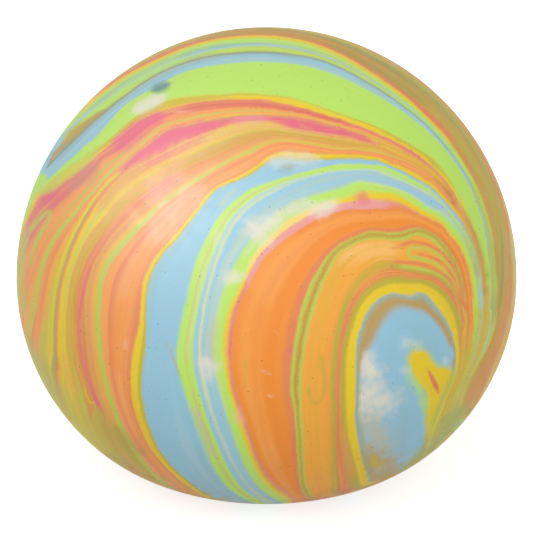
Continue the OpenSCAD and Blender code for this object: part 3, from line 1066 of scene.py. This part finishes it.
def steepness_of(reach, points, pairs):
    """How fast the reach changes per millimetre at each vertex."""
    first, second = pairs.T
    length = np.linalg.norm(points[first] - points[second], axis=1) / MM
    square = ((reach[first] - reach[second]) / length) ** 2
    total = np.bincount(first, square, len(points)) + np.bincount(second, square, len(points))
    degree = np.bincount(first, minlength=len(points)) + np.bincount(second, minlength=len(points))
    return np.sqrt(2 * total / degree)


def wash_field(pixels, strokes):
    """1 along the middle of the nearest brush stroke, 0 at its edge, and less outside and near its ends."""
    field = np.full(len(pixels), NO_WASH)
    for stroke in strokes:
        line = spline(stroke, STROKE_STEP)
        runs = np.linalg.norm(np.diff(line[:, :2], axis=0), axis=1)
        ends = np.concatenate([[0], np.cumsum(runs)])
        fade = min(WASH_FADE, WASH_FADE_SHARE * ends[-1])
        room = 2 * WASH_ROOM * line[:, 2].max()
        near = ((pixels > line[:, :2].min(0) - room) & (pixels < line[:, :2].max(0) + room)).all(1)
        some = pixels[near]
        best = field[near]
        for a, b, start, run in zip(line, line[1:], ends, runs):
            along = (b[:2] - a[:2]) / run
            share = np.clip((some - a[:2]) @ along / run, 0, 1)
            gap = np.linalg.norm(some - a[:2] - share[:, None] * run * along, axis=1)
            place = start + share * run
            tip = 1 - np.minimum(np.minimum(place, ends[-1] - place) / fade, 1)
            best = np.maximum(best, 1 - gap / WASH_ROOM / (a[2] + share * (b[2] - a[2])) - tip)
        field[near] = best
    return field


def line_offsets(pixels, line):
    """Signed distance from a line to each pixel, the plain distance, and how far its nearest end is."""
    runs = np.linalg.norm(np.diff(line, axis=0), axis=1)
    starts = np.concatenate([[0], np.cumsum(runs)])
    aside = np.zeros(len(pixels))
    plain = np.full(len(pixels), np.inf)
    place = np.zeros(len(pixels))
    for a, b, start, length in zip(line, line[1:], starts, runs):
        along = (b - a) / length
        offset = pixels - a
        run = offset @ along
        side = offset[:, 1] * along[0] - offset[:, 0] * along[1]
        gap = np.hypot(side, run - np.clip(run, 0, length))
        near = gap < plain
        plain = np.where(near, gap, plain)
        aside = np.where(near, side, aside)
        place = np.where(near, start + np.clip(run, 0, length), place)
    return aside, plain, np.minimum(place, starts[-1] - place)


def streak_fields(pixels, streaks):
    """Signed offset from the nearest line in half widths, and its strength, from 1 on it to 0 well away."""
    offset = np.full(len(pixels), NO_STREAK)
    strength = np.zeros(len(pixels))
    for half, points in streaks:
        aside, plain, to_end = line_offsets(pixels, spline(points, LINE_STEP))
        close = np.clip(1 - (plain - half - STREAK_ROOM) / STREAK_ROOM, 0, 1)
        close *= np.clip(STREAK_TIP + to_end / STREAK_FADE, 0, 1)
        better = close > strength
        offset = np.where(better, aside / half, offset)
        strength = np.maximum(strength, close)
    return offset, strength


def outline_field(pixels, outline):
    """Depth of each pixel inside a closed outline in pixels, below 0 outside."""
    line = spline([*outline, outline[0]], LINE_STEP)
    plain = line_offsets(pixels, line)[1]
    inside = np.zeros(len(pixels), bool)
    x, y = pixels.T
    for (ax, ay), (bx, by) in zip(line, line[1:]):
        if ay != by:
            inside ^= ((ay > y) != (by > y)) & (x < (bx - ax) * (y - ay) / (by - ay) + ax)
    return np.where(inside, plain, -plain)


def write_overlays(skin, points):
    """Keeps where the washes, the thin lines and the flame lie. They fade out past the rim that shows."""
    toward = view_axes()[0] - points
    toward /= np.linalg.norm(toward, axis=1)[:, None]
    normals = np.empty(len(points) * 3, np.float32)
    skin.data.vertices.foreach_get("normal", normals)
    facing = (normals.reshape(-1, 3) * toward).sum(1)
    shown = (facing > -RIM_FADE) & (np.arange(len(points)) < OUTSIDE_COUNT)
    past = np.clip(-facing[shown] / RIM_FADE, 0, 1)
    pixels = to_picture(points[shown])

    def keep(name, values, elsewhere):
        field = np.full(len(points), elsewhere)
        field[shown] = values
        write_field(skin, name, field)

    for n, (colour, cover, window, strokes) in enumerate(WASHES):
        faded = wash_field(pixels, strokes) - (1 - NO_WASH) * past
        keep(f"wash_{n}", np.maximum(faded, NO_WASH), NO_WASH)
    for n, (colour, cover, streaks) in enumerate(STREAKS):
        offset, strength = streak_fields(pixels, streaks)
        keep(f"streak_{n}", offset, NO_STREAK)
        keep(f"strength_{n}", strength * (1 - past), 0.0)
    keep("flame_depth", np.clip(outline_field(pixels, FLAME), -FLAME_ROOM, FLAME_ROOM), -FLAME_ROOM)


def cube_lattice(cells):
    """Whole-number points on a cube's surface, and the corners of every cell, outwards."""
    steps = np.arange(cells)
    i, j = (v.ravel() for v in np.meshgrid(steps, steps, indexing="ij"))
    corners = [(0, 0), (1, 0), (1, 1), (0, 1)]
    quads = []
    for axis in range(3):
        for side in (0, cells):
            quad = np.full((len(i), 4, 3), side)
            for n, (di, dj) in enumerate(corners if side else corners[::-1]):
                quad[:, n, (axis + 1) % 3] = i + di
                quad[:, n, (axis + 2) % 3] = j + dj
            quads.append(quad)
    points, index = np.unique(np.concatenate(quads).reshape(-1, 3), axis=0, return_inverse=True)
    return points, index.reshape(-1, 4)


def round_rings(place, turn, along, whole):
    """Moves points underneath into round rings about the port's mouth, less and less further out. Takes and
    returns their turn about the axis and their way along the outline from the top."""
    x, y = place.T
    ring = np.maximum(abs(x), abs(y))
    wide = abs(x) >= abs(y)
    longer = np.where(wide, x, y)
    ratio = np.where(wide, y, x) / np.where(longer == 0, 1, longer)
    round_turn = np.where(wide, ratio, 2 - ratio) * math.pi / 4 + np.where(longer < 0, math.pi, 0)
    mouth = MOUTH_RING * 2 / SKIN_CELLS
    round_along = whole - ring / mouth * (RECESS_R + MOUTH_LIP)
    square = smooth_step(mouth, 1, ring)
    across = np.cos(turn) * square + np.cos(round_turn) * (1 - square)
    aside = np.sin(turn) * square + np.sin(round_turn) * (1 - square)
    return np.arctan2(aside, across), along * square + round_along * (1 - square)


def wrap_cube(points):
    """Wraps a cube's lattice round the ball, with round rings of cells about the port's mouth."""
    place = 2 * points / SKIN_CELLS - 1
    direction = np.tan(place * math.pi / 4)
    direction /= np.linalg.norm(direction, axis=1)[:, None]
    steps = np.linalg.norm(np.diff(OUTLINE, axis=0), axis=1)
    length = np.concatenate([[0], np.cumsum(steps), [steps.sum() + BASE_R]])
    whole = length[-1]
    along = np.arccos(direction[:, 2]) / math.pi * whole
    turn = np.arctan2(direction[:, 1], direction[:, 0])
    under = points[:, 2] == 0
    turn[under], along[under] = round_rings(place[under, :2], turn[under], along[under], whole)
    radius = np.interp(along, length, np.append(OUTLINE[:, 0], 0))
    height = np.interp(along, length, np.append(OUTLINE[:, 1], 0))
    return np.column_stack([radius * np.cos(turn), radius * np.sin(turn), height])


def collar_fillet(gap):
    """The fillet at the collar's root, from the collar outwards, as something a gap away follows it."""
    radius = COLLAR_FILLET - gap
    centre = (COLLAR_R + gap + radius, SKIN_T + gap + radius)
    return arc(centre, radius, math.pi, 1.5 * math.pi, FILLET_STEPS)


def port_and_inside():
    """Half section of the skin from its port's mouth, by the bore and the collar, up to its inner top."""
    lip_centre = (RECESS_R + MOUTH_LIP, MOUTH_LIP)
    return np.vstack([
        arc(lip_centre, MOUTH_LIP, 1.5 * math.pi, math.pi, LIP_STEPS)[1:],
        [(RECESS_R, RECESS_TOP), (PORT_R, RECESS_TOP), (PORT_R, COLLAR_TOP), (COLLAR_R, COLLAR_TOP)],
        collar_fillet(0),
        ball_outline(SKIN_T, INNER_STEPS)[::-1],
    ])


def dough_section():
    """Half section of the dough from the stopper's nose, round the collar and up to its top."""
    gap = FILL_GAP
    nose_top = STOPPER_HIGH.z + gap
    return np.vstack([
        [(0, nose_top), (NOSE_R + gap, nose_top), (BARB_R + gap, BARB_RIM_TOP + gap)],
        [(BARB_R + gap, COLLAR_TOP + gap), (COLLAR_R + gap, COLLAR_TOP + gap)],
        collar_fillet(gap),
        ball_outline(SKIN_T + gap, DOUGH_STEPS)[::-1],
    ])


def turned(section, sides, start=0):
    """Vertices and faces of a half section turned about the axis, and the ring of vertices for each of its
    points. A point on the axis becomes one vertex."""
    angle = np.arange(sides) * 2 * math.pi / sides
    points, rings, faces = [], [], []
    for r, z in section:
        first = start + len(points)
        if r < AXIS_R:
            points.append((0, 0, z))
            rings.append([first] * sides)
        else:
            points += [(r * math.cos(a), r * math.sin(a), z) for a in angle]
            rings.append(list(range(first, first + sides)))
    for low, high in zip(rings, rings[1:]):
        for n in range(sides):
            m = (n + 1) % sides
            corners = [low[n], low[m], high[m], high[n]]
            faces.append(list(dict.fromkeys(corners)))
    return points, faces, rings


def make_object(name, points, faces, crease):
    """A mesh object with outward faces, smooth but for edges over an angle in degrees."""
    mesh = bpy.data.meshes.new(name)
    mesh.from_pydata([tuple(p) for p in points], [], [list(map(int, f)) for f in faces])
    shape = bmesh.new()
    shape.from_mesh(mesh)
    bmesh.ops.recalc_face_normals(shape, faces=shape.faces)
    shape.to_mesh(mesh)
    shape.free()
    mesh.shade_smooth()
    mesh.set_sharp_from_angle(angle=math.radians(crease))
    made = bpy.data.objects.new(name, mesh)
    bpy.context.scene.collection.objects.link(made)
    return made


def write_field(piece, name, values):
    """Keeps one number for each vertex, for the material to read."""
    field = piece.data.attributes.new(name, "FLOAT", "POINT")
    field.data.foreach_set("value", np.asarray(values, np.float32))


def skin_shape():
    """Points of the skin, the faces of its outside, and those of its port, collar and inner wall."""
    lattice, cells = cube_lattice(SKIN_CELLS)
    ring = abs(lattice[:, :2] - SKIN_CELLS // 2).max(1)
    mouth = (lattice[:, 2] == 0) & (ring <= MOUTH_RING)
    cells = cells[~mouth[cells].all(1)]
    points = wrap_cube(lattice)
    rim = np.flatnonzero(mouth & (ring == MOUTH_RING))
    turn = np.round(np.arctan2(points[rim, 1], points[rim, 0]), TURN_DECIMALS)
    rim = rim[np.argsort(turn % (2 * math.pi))]

    kept = ~(mouth & (ring < MOUTH_RING))
    number = np.cumsum(kept) - 1
    points, cells, rim = points[kept], number[cells], number[rim]
    inside, inside_faces, rings = turned(port_and_inside(), PORT_SIDES, len(points))
    bridge = []
    for n in range(PORT_SIDES):
        m = (n + 1) % PORT_SIDES
        bridge.append([rim[n], rim[m], rings[0][m], rings[0][n]])
    return np.vstack([points, inside]), cells, [*bridge, *inside_faces]


def add_skin():
    """The skin: an even mesh outside, and the port, the collar and the inner wall turned about the axis."""
    points, outside, inside = skin_shape()
    skin = make_object("marbled_skin", points, [*outside, *inside], SKIN_CREASE)
    pairs = np.array([edge.vertices[:] for edge in skin.data.edges])
    edges = TracedEdges(points, outside)
    reach = even_out(Swirl().at(points), edges, edges.gaps(points), pairs)
    write_field(skin, "reach", reach)
    write_field(skin, "steepness", steepness_of(reach, points, pairs))
    write_overlays(skin, points)
    return skin


def add_dough():
    """The gummy dough inside the skin."""
    points, faces, rings = turned(dough_section(), DOUGH_SIDES)
    return make_object("gummy_dough", points, faces, DOUGH_CREASE)


def linear(colour, tone=1.0):
    """A palette colour as Blender takes it, by the sRGB curve, darkened by a tone below 1."""
    part = np.array(PALETTE[colour]) / 255 * tone
    part = np.where(part <= 0.04045, part / 12.92, ((part + 0.055) / 1.055) ** 2.4)
    return (*part, 1)


def fill_ramp(elements, first, last):
    """Gives a colour ramp two stops for each band from first to before last."""
    low, high = BAND_STARTS[first], BAND_STARTS[last]
    stops = []
    for n in range(first, last):
        left = BAND_STARTS[n] + BAND_SOFTS[n] / 2
        right = max(left, BAND_STARTS[n + 1] - BAND_SOFTS[n + 1] / 2)
        stops += [(left, BANDS[n][1]), (right, BANDS[n][1])]
    while len(elements) < len(stops):
        elements.new(1)
    for element, (place, name) in zip(elements, stops):
        element.position = min(1, max(0, (place - low) / (high - low)))
        element.color = linear(name)


class Paint:
    """A material whose nodes are added one by one. A node comes after those that feed it and no ramp is
    clamped, as the renderer then works through the nodes in their order and keeps few values at once."""

    def __init__(self, name):
        self.material = bpy.data.materials.new(name)
        self.material.use_nodes = True
        self.tree = self.material.node_tree
        self.surface = self.tree.nodes["Principled BSDF"]

    def feed(self, socket, value):
        """Links a socket to another one, or sets it to a plain value."""
        if isinstance(value, bpy.types.NodeSocket):
            self.tree.links.new(value, socket)
        else:
            socket.default_value = value

    def node(self, kind, *inputs, **settings):
        """Adds a node, feeds its first inputs in order and returns it."""
        made = self.tree.nodes.new("ShaderNode" + kind)
        for name, value in settings.items():
            setattr(made, name, value)
        for socket, value in zip(made.inputs, inputs):
            self.feed(socket, value)
        return made

    def math(self, operation, *values):
        """The result of one operation on its values."""
        return self.node("Math", *values, operation=operation).outputs[0]

    def field(self, name):
        """A number that the mesh keeps for each vertex."""
        return self.node("Attribute", attribute_name=name).outputs["Fac"]

    def millimetres(self):
        """The point of the surface, in millimetres."""
        place = self.node("TexCoord").outputs["Object"]
        return self.node("Mapping", place, (0, 0, 0), (0, 0, 0), (1 / MM,) * 3).outputs[0]

    def noise(self, place, size, detail, roughness=0.5):
        """Smooth noise about its middle, with features of a size in millimetres."""
        made = self.node("TexNoise")
        self.feed(made.inputs["Vector"], place)
        made.inputs["Scale"].default_value = 1 / size
        made.inputs["Detail"].default_value = detail
        made.inputs["Roughness"].default_value = roughness
        return made.outputs["Fac"]

    def drawn_out(self, place, reach, length, width, detail=1.5):
        """Noise that is drawn out along the bands: length in millimetres, width as a reach."""
        across = self.math("MULTIPLY", reach, length / width)
        made = self.node("TexNoise", noise_dimensions="4D")
        self.feed(made.inputs["Vector"], place)
        self.feed(made.inputs["W"], across)
        made.inputs["Scale"].default_value = 1 / length
        made.inputs["Detail"].default_value = detail
        return made.outputs["Fac"]

    def centred(self, noise):
        """A noise moved so that its middle is 0."""
        return self.math("SUBTRACT", noise, NOISE_MIDDLE)

    def specks(self, place, gap, size, share):
        """1 inside small specks, else 0: their gap and radius in millimetres, and the share kept."""
        made = self.node("TexVoronoi")
        self.feed(made.inputs["Vector"], place)
        made.inputs["Scale"].default_value = 1 / gap
        chance = self.node("SeparateColor", made.outputs["Color"]).outputs["Red"]
        kept = self.math("LESS_THAN", chance, share)
        speck = self.ramp(made.outputs["Distance"], size / gap, PORE_CORE * size / gap)
        return self.math("MULTIPLY", kept, speck)

    def bump(self, height, strength, depth):
        """Raises the surface's shading by a height from 0 to 1: the depth is in millimetres."""
        made = self.node("Bump")
        made.inputs["Strength"].default_value = strength
        made.inputs["Distance"].default_value = depth * MM
        self.feed(made.inputs["Height"], height)
        self.tree.links.new(made.outputs["Normal"], self.surface.inputs["Normal"])

    def ramp(self, value, low, high, from_value=0.0, to_value=1.0):
        """Runs smoothly between two values as the input goes from low to high."""
        limits = (low, high, from_value, to_value)
        return self.node("MapRange", value, *limits, interpolation_type="SMOOTHSTEP", clamp=False).outputs[0]

    def mix(self, share, first, second):
        """The first colour, with a share of the second laid over it."""
        made = self.node("Mix", data_type="RGBA")
        for n, value in zip(MIX_INPUTS, (share, first, second)):
            self.feed(made.inputs[n], value)
        return made.outputs[MIX_OUTPUT]

    def banded(self, reach):
        """The colour of the band at a reach. A colour ramp holds 32 stops, so several take turns."""
        colour = None
        for first in range(0, len(BANDS), RAMP_BANDS - 1):
            last = min(first + RAMP_BANDS, len(BANDS))
            span = BAND_STARTS[first], BAND_STARTS[last]
            share = self.node("MapRange", reach, *span, clamp=False).outputs[0]
            made = self.node("ValToRGB", share)
            fill_ramp(made.color_ramp.elements, first, last)
            if colour is None:
                colour = made.outputs[0]
            else:
                turn = (BAND_STARTS[first] + BAND_STARTS[first + 1]) / 2
                colour = self.mix(self.math("GREATER_THAN", reach, turn), colour, made.outputs[0])
        return colour


def blended(paint, reach, spread):
    """The colour of the bands at a reach, blended with what lies within a spread on either side."""
    colour = None
    for n, offset in enumerate(np.linspace(-1, 1, BLEND_STEPS)):
        sample = paint.banded(paint.math("ADD", reach, paint.math("MULTIPLY", spread, float(offset))))
        colour = sample if colour is None else paint.mix(1 / (n + 1), colour, sample)
    return colour


def within(paint, reach, low, high):
    """1 where the reach lies between two values, falling softly to 0 outside them."""
    edge = min(STRETCH_SOFT, (high - low) * STRETCH_SHARE)
    return paint.math("MULTIPLY", paint.ramp(reach, low, low + edge), paint.ramp(reach, high, high - edge))


def veined(paint, colour, reach, noises):
    """Draws fine veins of neighbouring colours out along the bands."""
    for low, high, noise, side, name, cover in VEINS:
        start, full = NOISE_MIDDLE + VEIN_START * side, NOISE_MIDDLE + VEIN_FULL * side
        share = paint.ramp(noises[noise], start, full, 0, cover)
        share = paint.math("MULTIPLY", share, within(paint, reach, low, high))
        colour = paint.mix(share, colour, linear(name))
    return colour


def lined(paint, colour, place):
    """Adds the flame and the thin lines of other colours."""
    ragged = paint.centred(paint.noise(place, *NOISES["ragged"]))
    uneven = paint.ramp(paint.noise(place, *NOISES["uneven"]), *UNEVEN_SPAN, *UNEVEN_COVER)
    depth = paint.math("ADD", paint.field("flame_depth"), paint.math("MULTIPLY", ragged, FLAME_RAGGED))
    colour = paint.mix(paint.ramp(depth, *HALO_EDGE, 0, HALO_COVER), colour, linear("straw"))
    colour = paint.mix(paint.ramp(depth, *FLAME_EDGE), colour, linear("sun"))
    for n, (name, cover, streaks) in enumerate(STREAKS):
        away = paint.math("ABSOLUTE", paint.math("ADD", paint.field(f"streak_{n}"), ragged))
        share = paint.ramp(away, *STREAK_EDGE)
        strength = paint.ramp(paint.field(f"strength_{n}"), *STREAK_STRENGTH)
        share = paint.math("MULTIPLY", share, strength)
        share = paint.math("MULTIPLY", share, paint.math("MULTIPLY", uneven, cover))
        colour = paint.mix(share, colour, linear(name))
    return colour


def washed(paint, colour, reach, feathered, cloudy):
    """Lays the washes over the bands. Those that keep to some bands are feathered along them."""
    for n, (name, cover, window, strokes) in enumerate(WASHES):
        field = paint.field(f"wash_{n}")
        if window == SPOT:
            share = paint.ramp(field, *SPOT_EDGE, 0, cover)
        elif window in (ALL, HEART):
            share = paint.ramp(paint.math("ADD", field, cloudy), *CLOUDY_EDGE, 0, cover)
        else:
            share = paint.ramp(paint.math("ADD", field, feathered), *FEATHERED_EDGE, 0, cover)
        if window not in (ALL, SPOT):
            share = paint.math("MULTIPLY", share, within(paint, reach, *window))
        colour = paint.mix(share, colour, linear(name))
    return colour


def marbling(paint, place):
    """The colour of the rubber: soft bands, with veins, the flame, thin lines and washes over them."""
    steepness = paint.field("steepness")
    reach = paint.field("reach")
    wander = paint.math("MULTIPLY", paint.centred(paint.noise(place, *NOISES["wander"])), WANDER_SWING)
    grain = paint.math("MULTIPLY", paint.centred(paint.noise(place, *NOISES["grain"])), GRAIN_SWING)
    wander = paint.math("MULTIPLY", paint.math("ADD", wander, grain), steepness)
    drift = paint.centred(paint.drawn_out(place, reach, *DRIFT_SIZE))
    moved = paint.math("ADD", paint.math("ADD", reach, wander), paint.math("MULTIPLY", drift, DRIFT_SWING))
    noises = {name: paint.drawn_out(place, moved, *size) for name, size in VEIN_SIZES.items()}
    colour = blended(paint, moved, paint.math("MULTIPLY", steepness, BLEND / MM))
    colour = veined(paint, colour, moved, noises)
    cloudy = paint.math("MULTIPLY", paint.centred(paint.noise(place, *NOISES["cloud"])), CLOUD_SWING)
    drawn = paint.math("MULTIPLY", paint.centred(noises["fine"]), FEATHER_SWING)
    feathered = paint.math("ADD", drawn, paint.math("MULTIPLY", cloudy, FEATHER_CLOUD))
    colour = lined(paint, colour, place)
    return washed(paint, colour, moved, feathered, cloudy)


def rubber():
    """Satin rubber, marbled in soft bands, with fine pores that are darkened as painted shade."""
    paint = Paint("marbled_rubber")
    place = paint.millimetres()
    colour = marbling(paint, place)
    pores = paint.math("MAXIMUM", *[paint.specks(place, *pore) for pore in PORES])
    # The pores are darkened towards a dark colour: painted shade in the pits
    colour = paint.mix(paint.math("MULTIPLY", pores, PORE_SHADE), colour, linear("pit_shade"))
    paint.feed(paint.surface.inputs["Base Color"], colour)
    shine = paint.ramp(paint.noise(place, *NOISES["shine"]), *NOISE_SPAN, *RUBBER_ROUGHNESS)
    paint.feed(paint.surface.inputs["Roughness"], shine)
    relief = paint.noise(place, *NOISES["relief"])
    relief = paint.math("SUBTRACT", relief, paint.math("MULTIPLY", pores, PORE_DEPTH))
    paint.bump(relief, RUBBER_BUMP, RELIEF_DEPTH)
    paint.surface.inputs["Specular IOR Level"].default_value = RUBBER_SPECULAR
    return paint.material


def soft_material(name):
    """A soft material of one colour, mottled and grained."""
    colour, roughness, grain, depth = SOFT_MATERIALS[name]
    paint = Paint(name)
    place = paint.millimetres()
    tone = paint.noise(place, MOTTLE_SIZE * grain, *MOTTLE_NOISE)
    mottled = paint.mix(tone, linear(colour, MOTTLE_LEAST), linear(colour))
    paint.feed(paint.surface.inputs["Base Color"], mottled)
    shine = paint.ramp(tone, *NOISE_SPAN, MOTTLE_LEAST * roughness, roughness)
    paint.feed(paint.surface.inputs["Roughness"], shine)
    paint.bump(paint.noise(place, grain, GRAIN_DETAIL), GRAIN_BUMP, depth)
    return paint.material


def seen(tree):
    """1 for rays that show the surface in the picture, in a reflection or through something clear, else 0."""
    path = tree.nodes.new("ShaderNodeLightPath")
    total = path.outputs["Is Camera Ray"]
    for name in ("Is Glossy Ray", "Is Transmission Ray"):
        step = tree.nodes.new("ShaderNodeMath")
        step.operation = "MAXIMUM"
        tree.links.new(total, step.inputs[0])
        tree.links.new(path.outputs[name], step.inputs[1])
        total = step.outputs[0]
    return total


def floor_white():
    """A white that glows where it is seen, keeps shadows and is clear from below."""
    paint = Paint("floor_white")
    paint.surface.inputs["Base Color"].default_value = FLOOR_GREY
    paint.surface.inputs["Roughness"].default_value = FLOOR_ROUGHNESS
    paint.surface.inputs["Specular IOR Level"].default_value = 0
    paint.surface.inputs["Emission Color"].default_value = WHITE
    glow = paint.math("MULTIPLY", seen(paint.tree), FLOOR_GLOW)
    paint.feed(paint.surface.inputs["Emission Strength"], glow)
    below = paint.node("NewGeometry").outputs["Backfacing"]
    clear = paint.node("BsdfTransparent").outputs[0]
    either = paint.node("MixShader", below, paint.surface.outputs[0], clear)
    paint.tree.links.new(either.outputs[0], paint.tree.nodes["Material Output"].inputs["Surface"])
    return paint.material


def add_floor():
    """A pale floor that shows white and keeps the ball's shadow."""
    x, z = FLOOR_SIZE, -FLOOR_GAP
    corners = [(-x, -x, z), (x, -x, z), (x, x, z), (-x, x, z)]
    floor = make_object("floor", corners, [(0, 1, 2, 3)], FLOOR_CREASE)
    floor.data.materials.append(floor_white())


def add_lamp(name, place, size, power, lights):
    """A square soft light that faces the ball."""
    data = bpy.data.lights.new(name, "AREA")
    data.size = size
    data.energy = power
    lamp = bpy.data.objects.new(name, data)
    lamp.location = place
    lamp.rotation_euler = (Vector((0, 0, EQUATOR_H)) - Vector(place)).to_track_quat("-Z", "Y").to_euler()
    lamp.visible_diffuse = lights
    bpy.context.scene.collection.objects.link(lamp)


def add_world():
    """Plain soft light from all round, and a white background."""
    world = bpy.data.worlds.new("studio")
    bpy.context.scene.world = world
    world.use_nodes = True
    tree = world.node_tree
    background = tree.nodes["Background"]
    background.inputs["Color"].default_value = WHITE
    strength = tree.nodes.new("ShaderNodeMapRange")
    strength.inputs["To Min"].default_value = WORLD_LIGHT
    strength.inputs["To Max"].default_value = 1.0
    tree.links.new(seen(tree), strength.inputs["Value"])
    tree.links.new(strength.outputs[0], background.inputs["Strength"])


def dress_closing():
    """Gives the stopper and the sealing disc, which keep their solids, their materials."""
    for node, name in CLOSING.items():
        material = soft_material(name)
        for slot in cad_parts[node].material_slots:
            slot.material = material


def main():
    """Makes the pieces, the floor, the lights and the camera."""
    add_camera()
    skin = add_skin()
    skin.data.materials.append(rubber())
    dough = add_dough()
    dough.data.materials.append(soft_material("gummy_dough"))
    dress_closing()
    for piece, node, slot in ((skin, "outer_skin", "skin"), (dough, "filling", "dough")):
        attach(piece, "root")
        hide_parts(node)
    add_floor()
    for name, lamp in LAMPS.items():
        add_lamp(name, *lamp)
    add_world()
    bpy.context.scene.view_settings.view_transform = "Standard"


main()
